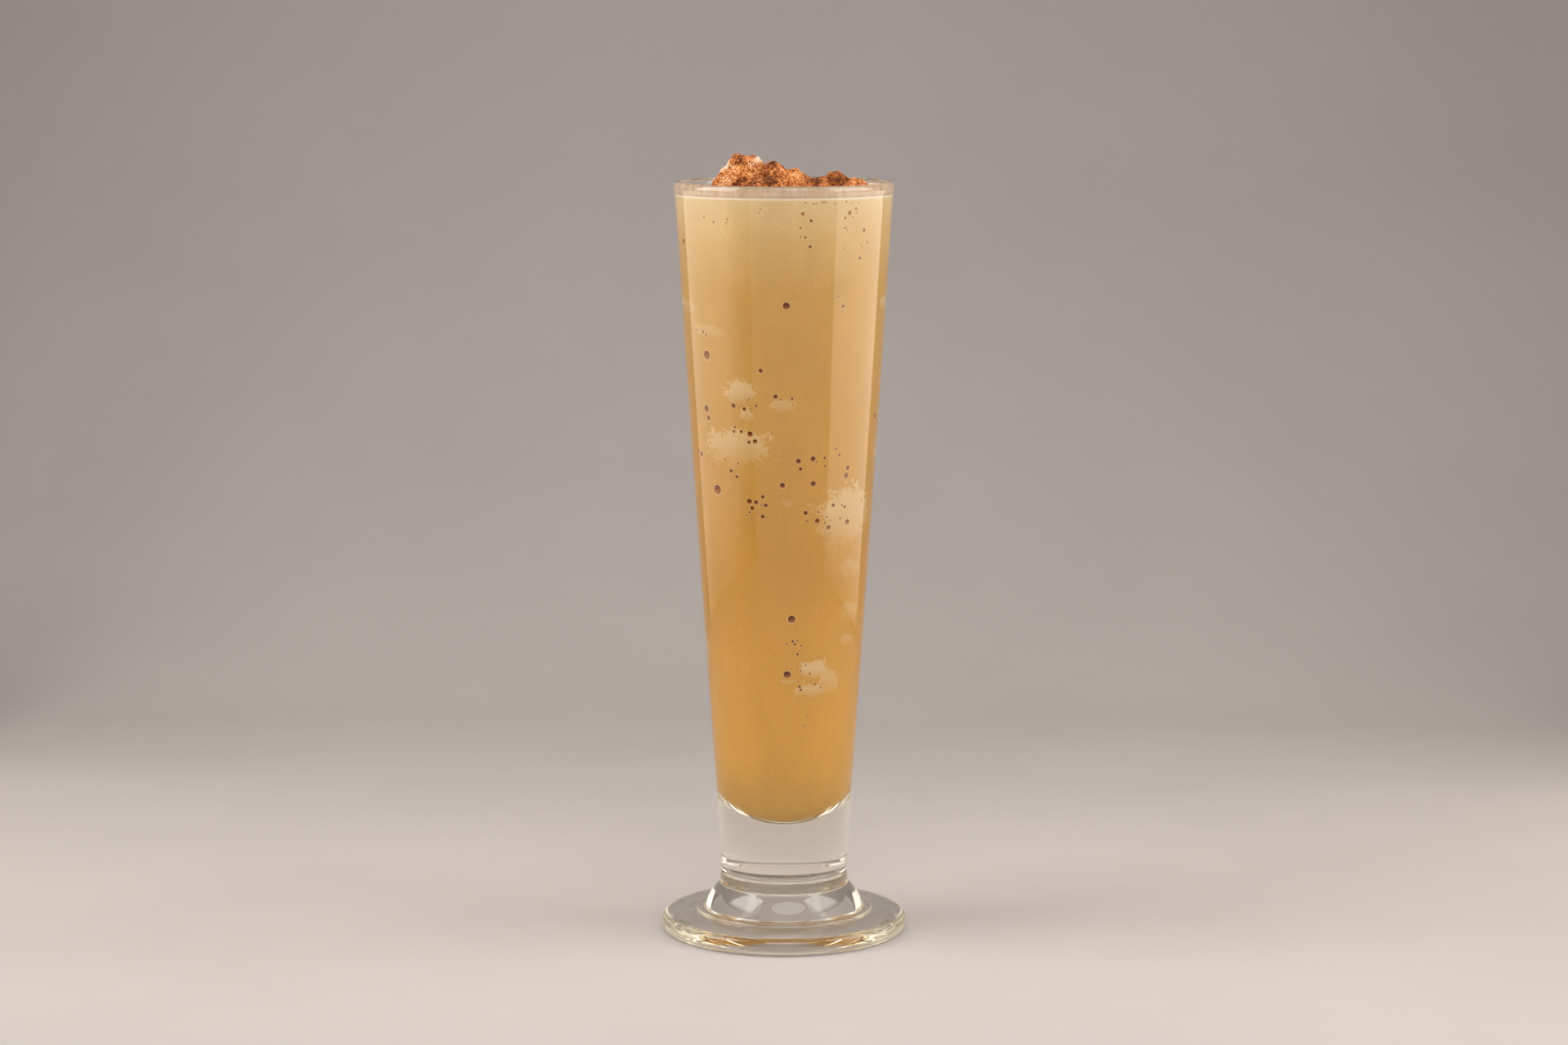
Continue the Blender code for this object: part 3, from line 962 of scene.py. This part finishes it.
class CAPPUCCINO_OT_foam(bpy.types.Operator):
    """Make the pale foam head with its bubbly top"""

    bl_idname = "cappuccino.foam"
    bl_label = "Milk foam"

    def execute(self, context):
        settings = context.scene.cappuccino_drink
        edge_z = settings.level + MENISCUS_RISE
        edge_radius = cavity_radius(edge_z) + INTO_WALL
        inner = edge_radius - MENISCUS_WIDTH
        flat = [(inner * i / 60, settings.level) for i in range(60)]
        shares = rises(0, 1, 8)
        creep = [(inner + MENISCUS_WIDTH * t, settings.level + MENISCUS_RISE * t * t) for t in shares]
        rows = round((edge_z - FOAM_FOOT_Z) / DRINK_ROW)
        side = cavity_side(edge_z, FOAM_FOOT_Z, INTO_WALL, rows)
        made = turned("milk_foam_head", [*flat, *creep, *side[1:], (0, FOAM_FOOT_Z)], DRINK_STEPS)
        made.data.set_sharp_from_angle(angle=math.radians(50))
        mark_froth(made.data)
        for face in made.data.polygons:
            if face.normal.z > 0.7 and face.center.z > settings.level - 0.1 * MM:
                face.material_index = 1
        self.roughen(made.data, settings.level, inner)
        finished(made, "foam", [wet_coffee("milk_foam_at_glass", settings), foam_top()], "milk_foam")
        return {"FINISHED"}

    def roughen(self, mesh, level, inner):
        """Gives the open top the low swells and pits of foam."""
        for vertex in mesh.vertices:
            radius = math.hypot(vertex.co.x, vertex.co.y)
            if vertex.co.z > level - 0.01 * MM and radius < inner + 0.6 * MENISCUS_WIDTH:
                swell = noise.noise(vertex.co / (7 * MM)) * 0.25 * MM
                pit = noise.noise(vertex.co / (1.6 * MM)) * 0.12 * MM
                vertex.co.z += swell + pit - 0.1 * MM


def dished(shape, azimuth, z, size, rings, tone=None):
    """Adds a round flat shape in the wall, from rings of (share of the radius, how far out). Given a tone
    layer, it stores on each vertex how dark the bubble's painted shade is.
    """
    rows = []
    # How dark the bubble's painted shade is: paler near the top of the drink, on small bubbles, and at the
    # sides, where painted light stands for light falling in
    near_top = min(max((z - FADING_SHADE_Z[0]) / (FADING_SHADE_Z[1] - FADING_SHADE_Z[0]), 0.0), 1.0)
    darkness_and_painted_shade = min(1.0, 0.35 + 0.65 * size / FULL_SHADE_SIZE) * (1 - 0.8 * near_top)
    darkness_and_painted_shade *= 1 - 0.6 * math.sin(azimuth) ** 2
    for share, height in rings:
        row = []
        for i in range(BUBBLE_STEPS):
            turn = 2 * math.pi * i / BUBBLE_STEPS
            side, up = (share * size / 2 * part for part in (math.cos(turn), math.sin(turn)))
            point = on_wall(azimuth + side / cavity_radius(z), z + up, INTO_WALL + height)
            row.append(shape.verts.new(point))
            if tone is not None:
                # Painted shade, darkest at the top of the bubble and painted lighter below
                row[-1][tone] = (0.55 + 0.45 * share * math.sin(turn)) * darkness_and_painted_shade
        rows.append(row)
    for row, after in zip(rows, rows[1:]):
        for i in range(BUBBLE_STEPS):
            j = (i + 1) % BUBBLE_STEPS
            shape.faces.new((row[i], row[j], after[j], after[i]))
    return rows


class CAPPUCCINO_OT_bubbles(bpy.types.Operator):
    """Make the air bubbles against the wall, as dark dots of painted shade"""

    bl_idname = "cappuccino.bubbles"
    bl_label = "Air bubbles"

    def execute(self, context):
        shape = bmesh.new()
        # Each vertex's tone is how dark its bubble's painted shade is there
        tone = shape.verts.layers.float.new("tone")
        deep, proud = -0.1 * MM, 0.05 * MM
        for azimuth, z, size in bubbles():
            rings = ((0.3, proud), (0.75, proud), (0.95, 0.8 * proud), (1.0, 0), (0.6, deep))
            rows = dished(shape, azimuth, z, size, rings, tone)
            shape.faces.new(list(reversed(rows[0])))
            shape.faces.new(rows[-1])
        bmesh.ops.recalc_face_normals(shape, faces=shape.faces)
        made = from_shape("air_bubbles_painted_shade", shape)
        finished(made, "foam", [bubble_painted_shade(context.scene.cappuccino_drink)])
        return {"FINISHED"}


class CAPPUCCINO_OT_bubble_rims(bpy.types.Operator):
    """Make the pale rings round the bubbles"""

    bl_idname = "cappuccino.bubble_rims"
    bl_label = "Bubble rims"

    def execute(self, context):
        shape = bmesh.new()
        for azimuth, z, size in bubbles():
            wide = 1.12 + 0.14 * MM / size
            low = z - 0.04 * size
            rings = ((0.94, 0), (0.98, 0.025 * MM), (wide - 0.05, 0.025 * MM), (wide, -0.02 * MM), (0.94, 0))
            dished(shape, azimuth, low, size, rings)
        bmesh.ops.remove_doubles(shape, verts=shape.verts, dist=0.001 * MM)
        bmesh.ops.recalc_face_normals(shape, faces=shape.faces)
        made = from_shape("bubble_rims", shape)
        made.data.shade_smooth()
        finished(made, "foam", [bubble_rim(context.scene.cappuccino_drink)])
        return {"FINISHED"}


def crag(point):
    """How far the cream stands out at a point, or in where it is negative."""
    return CRAG_DEPTH * (noise.turbulence(point / CRAG_SIZE, CRAG_OCTAVES, True) - CRAG_CENTRE)


def remeshed(made, voxel):
    """Fuses an object's mesh into one even skin."""
    fuse = made.modifiers.new("Fuse", "REMESH")
    fuse.mode = "VOXEL"
    fuse.voxel_size = voxel
    applied(made)


def pushed(mesh, distance):
    """Moves each vertex along its normal by a function of its place."""
    normals = [vertex.normal.copy() for vertex in mesh.vertices]
    for vertex, normal in zip(mesh.vertices, normals):
        vertex.co += normal * distance(vertex.co)


def crumb(point):
    """The finer roughness on the crags."""
    coarse = noise.turbulence(point / CRUMB_SIZE, 2, True) - 0.6
    fine = noise.noise(point / CRUMB_FINE_SIZE)
    return CRUMB_DEPTH * coarse + CRUMB_FINE_DEPTH * fine


def blotch(point, patches):
    """How strongly a point on the lumps lies in any of the patches, which wander behind the middle."""
    behind = min(max(point.y / (3 * MM), 0.0), 1.0)
    drift = noise.noise(Vector((point.z, point.y, 0)) / (4 * MM)) * behind * 7 * MM
    found = 0.0
    for x, z, reach, strength in patches:
        away = math.hypot(point.x + drift - x * MM, point.z + drift / 2 - z * MM) / (reach * MM)
        found = max(found, strength * math.exp(-away * away))
    return found


def mark_dust(mesh):
    """Stores how thickly each vertex is dusted, and how deep in a hollow it lies, which the cream's colour
    paints as shade.
    """
    dust, hollow = [], []
    for vertex in mesh.vertices:
        p, n = vertex.co, vertex.normal
        bare = noise.noise(p / (5 * MM) + Vector((3.1, 7.7, 1.3)))
        shaded = max(0.0, -n.x) * (0.35 if p.x < -12 * MM else 0.12) + max(0.0, n.y) * 0.2
        swept = blotch(p, BARE_PATCHES) if p.y > BARE_FRONT_Y else 0.0
        dust.append(0.8 + 0.3 * n.z - shaded + 0.3 * bare - swept)
        # Painted shade: the deeper a vertex lies between the crags, and inside the listed dark patches, the
        # darker its dust
        hollow.append(0.4 - crag(p) / CRAG_DEPTH * 0.5 + blotch(p, DARK_PATCHES))
    store(mesh, dust=dust, hollow=hollow)


class CAPPUCCINO_OT_cream(bpy.types.Operator):
    """Make the craggy cream lumps"""

    bl_idname = "cappuccino.cream"
    bl_label = "Cream lumps"

    def execute(self, context):
        balls = bmesh.new()
        for x, y, half_x, half_y, height in CREAM_LUMPS_MM:
            place = Matrix.Translation((x * MM, y * MM, CREAM_BASE_Z))
            size = Matrix.Diagonal((half_x * MM, half_y * MM, height * MM, 1))
            bmesh.ops.create_icosphere(balls, subdivisions=4, radius=1, matrix=place @ size)
        made = from_shape("dusted_cream_lumps", balls)
        remeshed(made, CREAM_VOXEL)
        pushed(made.data, crag)
        remeshed(made, CREAM_FINE_VOXEL)
        self.trim(made.data)
        pushed(made.data, crumb)
        self.hold_in(made.data)
        mark_dust(made.data)
        made.data.shade_smooth()
        finished(made, "cream", [dusted_cream(context.scene.cappuccino_cream)], "cream_lumps")
        return {"FINISHED"}

    def trim(self, mesh):
        """Cuts off what would lie deep in the foam, and closes the cut."""
        shape = bmesh.new()
        shape.from_mesh(mesh)
        every = [*shape.verts, *shape.edges, *shape.faces]
        plane = (0, 0, CREAM_BASE_Z - CREAM_SINK)
        bmesh.ops.bisect_plane(shape, geom=every, plane_co=plane, plane_no=(0, 0, 1), clear_inner=True)
        bmesh.ops.holes_fill(shape, edges=[e for e in shape.edges if e.is_boundary])
        bmesh.ops.triangulate(shape, faces=[f for f in shape.faces if len(f.verts) > 4])
        shape.to_mesh(mesh)
        shape.free()

    def hold_in(self, mesh):
        """Keeps the cream in the height of its solid."""
        top = CAD_BOX[1].z
        for vertex in mesh.vertices:
            vertex.co.z = min(vertex.co.z, top - 0.02 * MM)


def grain_mesh(name, spots):
    """One mesh of small uneven grains at (point, normal, size, tone)."""
    ball = bmesh.new()
    bmesh.ops.create_icosphere(ball, subdivisions=1, radius=1)
    corners = np.array([v.co[:] for v in ball.verts])
    sides = np.array([[v.index for v in f.verts] for f in ball.faces])
    ball.free()
    draw = np.random.default_rng(SEED + 2)
    points, faces, tones = [], [], []
    for point, normal, size, tone in spots:
        turn = Vector(draw.normal(size=3)).normalized().to_track_quat("Z", "Y").to_matrix()
        shape = corners * (size * draw.uniform((0.7, 0.5, 0.3), (1.2, 1.0, 0.7)))
        shape = shape * draw.uniform(0.8, 1.2, (len(corners), 1))
        faces.append(sides + len(points) * len(corners))
        points.append(shape @ np.array(turn).T + np.array(point + normal * size * 0.25))
        tones += [tone] * len(corners)
    made = from_faces(name, np.concatenate(points).tolist(), np.concatenate(faces).tolist())
    store(made.data, tone=tones)
    return made


def cream_spots(cream, count, draw):
    """Places for grains on the upper sides of the cream."""
    mesh = cream.data
    low = DRINK_LEVEL_Z + 0.3 * MM
    areas = np.array([f.area if f.center.z > low and f.normal.z > -0.1 else 0 for f in mesh.polygons])
    picked = draw.choice(len(areas), count, p=areas / areas.sum())
    dust = mesh.attributes["dust"].data
    spots = []
    for i in picked:
        face = mesh.polygons[int(i)]
        if dust[face.vertices[0]].value + draw.uniform(-0.3, 0.3) < 0.45:
            continue
        corners = [mesh.vertices[v].co for v in face.vertices]
        share = draw.dirichlet(np.ones(len(corners)))
        point = sum((c * float(s) for c, s in zip(corners, share)), Vector())
        size = float(draw.uniform(0.07, 0.19)) * MM
        spots.append((point, face.normal.copy(), size, float(draw.random())))
    return spots


class CAPPUCCINO_OT_cinnamon(bpy.types.Operator):
    """Scatter loose grains of cinnamon on the cream, the foam and the rim"""

    bl_idname = "cappuccino.cinnamon"
    bl_label = "Cinnamon"

    def execute(self, context):
        settings = context.scene.cappuccino_cream
        draw = np.random.default_rng(SEED + 3)
        cream = bpy.data.objects["dusted_cream_lumps"]
        spots = cream_spots(cream, settings.grains, draw)
        spots += self.foam_spots(draw) + self.rim_spots(draw)
        top = CAD_BOX[1].z - 0.3 * MM
        made = grain_mesh("cinnamon_grains", [s for s in spots if s[0].z + s[2] < top])
        finished(made, "cream", [ground_cinnamon(settings)])
        return {"FINISHED"}

    def foam_spots(self, draw, count=2600):
        """Grains that fell on the foam round the lumps."""
        foam = bpy.data.objects["milk_foam_head"]
        surface = BVHTree.FromObject(foam, bpy.context.evaluated_depsgraph_get())
        spots = []
        for _ in range(count):
            radius = min(abs(draw.normal(18, 6)), 29.5) * MM
            turn = draw.uniform(0, 2 * math.pi)
            start = Vector((radius * math.cos(turn), radius * math.sin(turn), GLASS_HEIGHT))
            point, normal, _, _ = surface.ray_cast(start, Vector((0, 0, -1)))
            if point is not None:
                size = float(0.06 + 0.2 * draw.random() ** 2) * MM
                spots.append((point, normal, size, float(draw.random())))
        return spots

    def rim_spots(self, draw, count=46):
        """Grains that stuck to the wall just under the rim, most of them at the sides."""
        spots = []
        for _ in range(count):
            turn = draw.choice([-1, 1]) * draw.normal(math.radians(95), math.radians(38))
            z = draw.uniform(DRINK_LEVEL_Z + 1.2 * MM, GLASS_HEIGHT - RIM_ROUND)
            point = on_wall(turn, z, -0.03 * MM)
            inward = Vector((-math.sin(turn), math.cos(turn), 0))
            size = float(draw.uniform(0.08, 0.26)) * MM
            spots.append((point, inward, size, float(draw.uniform(0.4, 1))))
        return spots


class CAPPUCCINO_OT_film(bpy.types.Operator):
    """Make the thin film of foam on the wall above the drink"""

    bl_idname = "cappuccino.film"
    bl_label = "Foam film"

    def execute(self, context):
        steps, rows = 360, 16
        low = DRINK_LEVEL_Z + MENISCUS_RISE - 0.3 * MM
        points, faces, film = [], [], []
        for i in range(steps):
            azimuth = 2 * math.pi * i / steps
            top = self.top(azimuth)
            for side in (0, 1):
                for k in range(rows + 1):
                    share = k / rows
                    thick = 0.12 * MM * (1 - share) ** 0.6 + 0.02 * MM
                    z = low + (top - low) * share
                    radius = self.inner_radius(z) + (-thick if side else 0.04 * MM)
                    points.append((radius * math.sin(azimuth), -radius * math.cos(azimuth), z))
                    film.append(0.88 - 0.24 * share - (0.5 if k == rows else 0))
        row = 2 * (rows + 1)
        for i in range(steps):
            a, b = i * row, (i + 1) % steps * row
            loop = [*range(rows + 1), *reversed(range(rows + 1, row))]
            for p, q in zip(loop, [*loop[1:], loop[0]]):
                faces.append((a + p, a + q, b + q, b + p))
        made = from_faces("foam_film_on_wall", points, faces)
        face_out(made.data)
        store(made.data, film=film)
        finished(made, "foam", [foam_film()])
        return {"FINISHED"}

    def inner_radius(self, z):
        """The glass's inner radius, also on the round of the rim."""
        over = max(0.0, z - (GLASS_HEIGHT - RIM_ROUND)) / RIM_ROUND
        if over == 0:
            return cavity_radius(z)
        return RIM_RADIUS - RIM_WALL / 2 * (1 + math.sqrt(1 - over * over))

    def top(self, azimuth):
        """How high the film reaches: over the rim's edge at the front, lower behind on the left."""
        around = Vector((math.sin(azimuth), math.cos(azimuth), 0.0)) * 2.4
        ragged = noise.fractal(around * 4, 0.6, 2.0, 4) * 0.5 * MM
        behind = max(0.0, math.cos(azimuth - math.radians(205))) ** 3
        reach = (1.8 + 1.0 * max(0.0, math.cos(azimuth))) * MM * (1 - 0.8 * behind)
        low = DRINK_LEVEL_Z + MENISCUS_RISE
        return min(low + max(reach + ragged, 0.25 * MM), GLASS_HEIGHT - 0.35 * MM)


class CAPPUCCINO_OT_stage(bpy.types.Operator):
    """Make the floor, the light and the camera"""

    bl_idname = "cappuccino.stage"
    bl_label = "Stage"

    def execute(self, context):
        settings = context.scene.cappuccino_stage
        self.floor(settings)
        self.lights(settings)
        self.bounces()
        self.camera(settings)
        return {"FINISHED"}

    def floor(self, settings, front=-FLOOR_HALF_WIDTH, wall_y=0.62, bend=0.3, height=2.2, steps=24):
        """A floor that bends up into a backdrop, just under the glass so that the two don't merge."""
        gap = 0.05 * MM
        curve = [(front, -gap)]
        for i in range(steps + 1):
            angle = math.radians(90 * i / steps)
            curve.append((wall_y - bend + bend * math.sin(angle), bend * (1 - math.cos(angle)) - gap))
        curve.append((wall_y, height))
        half = [FLOOR_HALF_WIDTH if z < 0 else BACKDROP_HALF_WIDTH for _, z in curve]
        points = [(side * wide, y, z) for wide, (y, z) in zip(half, curve) for side in (-1, 1)]
        faces = [(2 * i, 2 * i + 1, 2 * i + 3, 2 * i + 2) for i in range(len(curve) - 1)]
        made = from_faces("floor_and_backdrop", points, faces)
        made.data.shade_smooth()
        made.data.materials.append(painted_board(settings))

    def soft_box(self, name, turns, distance, edges, by_height, steps=48):
        """A bent strip round the glass, from one azimuth to another, whose glow fades at both ends."""
        width = turns[1] - turns[0]
        row = len(by_height)
        points, glow, faces = [], [], []
        for i in range(steps + 1):
            share = i / steps
            turn = math.radians(turns[0] + width * share)
            fade = min(1.0, share * width / edges[0], (1 - share) * width / edges[1])
            points += [(distance * math.sin(turn), -distance * math.cos(turn), z) for z, _ in by_height]
            glow += [fade * fade * (3 - 2 * fade) * up for _, up in by_height]
        for i in range(steps):
            a, b = i * row, (i + 1) * row
            faces += [(a + k, a + k + 1, b + k + 1, b + k) for k in range(row - 1)]
        made = from_faces(name, points, faces)
        store(made.data, glow=glow)
        made.visible_camera = False
        return made

    def lights(self, settings):
        for name, (colour, turns, distance, share, edges, by_height) in SOFT_BOXES.items():
            made = self.soft_box(name, turns, distance, edges, by_height)
            made.data.materials.append(lamp_cloth(name, share * settings.side_light, colour))
        lamp = bpy.data.lights.new("light_above", "AREA")
        lamp.shape = "ELLIPSE"
        lamp.size, lamp.size_y = LAMP_SIZE
        lamp.energy = settings.top_light * math.pi * lamp.size * lamp.size_y * math.pi / 4
        above = linked(bpy.data.objects.new("light_above", lamp))
        above.location = LAMP_PLACE
        above.rotation_euler = (-above.location).to_track_quat("-Z", "Y").to_euler()
        above.visible_camera = False
        world = bpy.data.worlds.new("room")
        world.use_nodes = True
        tree = world.node_tree
        direction = add(tree, "TexCoord").outputs["Generated"]
        height = add(tree, "SeparateXYZ", {0: direction}).outputs["Z"]
        glow = remapped(tree, height, -0.05, 0.55, 0.16, 1.0)
        strength = maths(tree, "MULTIPLY", glow, settings.room_light)
        tree.links.new(strength, tree.nodes["Background"].inputs["Strength"])
        tree.nodes["Background"].inputs["Color"].default_value = (1.0, 0.97, 0.94, 1)
        bpy.context.scene.world = world
        bpy.context.scene.view_settings.view_transform = "Standard"

    def bounces(self):
        """Lets light cross the foot's many inner reflections, which come out black when it is cut short."""
        cycles = bpy.context.scene.cycles
        cycles.max_bounces = cycles.glossy_bounces = cycles.transmission_bounces = GLASS_BOUNCES

    def camera(self, settings):
        lens = bpy.data.cameras.new("camera")
        lens.lens = settings.lens
        lens.sensor_width = SENSOR_MM
        made = linked(bpy.data.objects.new("camera", lens))
        made.location = (0, -CAMERA_DISTANCE, CAMERA_HEIGHT)
        made.rotation_euler = (math.pi / 2 - CAMERA_PITCH, 0, 0)
        bpy.context.scene.camera = made


STEPS = (
    CAPPUCCINO_OT_stage,
    CAPPUCCINO_OT_glass,
    CAPPUCCINO_OT_coffee,
    CAPPUCCINO_OT_foam,
    CAPPUCCINO_OT_bubbles,
    CAPPUCCINO_OT_bubble_rims,
    CAPPUCCINO_OT_cream,
    CAPPUCCINO_OT_cinnamon,
    CAPPUCCINO_OT_film,
)
SETTINGS = {
    "cappuccino_glass": GlassSettings,
    "cappuccino_drink": DrinkSettings,
    "cappuccino_cream": CreamSettings,
    "cappuccino_stage": StageSettings,
}


class CAPPUCCINO_PT_panel(bpy.types.Panel):
    """Lists the pieces and what a user may change"""

    bl_label = "Frozen cappuccino"
    bl_idname = "CAPPUCCINO_PT_panel"
    bl_space_type = "VIEW_3D"
    bl_region_type = "UI"
    bl_category = "Cappuccino"

    def draw(self, context):
        for step in STEPS:
            self.layout.operator(step.bl_idname)
        for name, group in SETTINGS.items():
            box = self.layout.box()
            for key in group.__annotations__:
                box.prop(getattr(context.scene, name), key)


def register():
    for name, group in SETTINGS.items():
        bpy.utils.register_class(group)
        setattr(bpy.types.Scene, name, bpy.props.PointerProperty(type=group))
    for item in (*STEPS, CAPPUCCINO_PT_panel):
        bpy.utils.register_class(item)


def unregister():
    for item in (CAPPUCCINO_PT_panel, *reversed(STEPS)):
        bpy.utils.unregister_class(item)
    for name, group in SETTINGS.items():
        delattr(bpy.types.Scene, name)
        bpy.utils.unregister_class(group)


def clear_scene():
    """Removes the lamps, cameras and loose meshes that a new file starts with."""
    kept = set(frame["nodes"].values()) | set(frame["bodies"].values())
    for item in list(bpy.data.objects):
        if item not in kept:
            bpy.data.objects.remove(item)


def main():
    clear_scene()
    register()
    for step in STEPS:
        group, action = step.bl_idname.split(".")
        getattr(getattr(bpy.ops, group), action)()


if __name__ == "__main__":
    main()
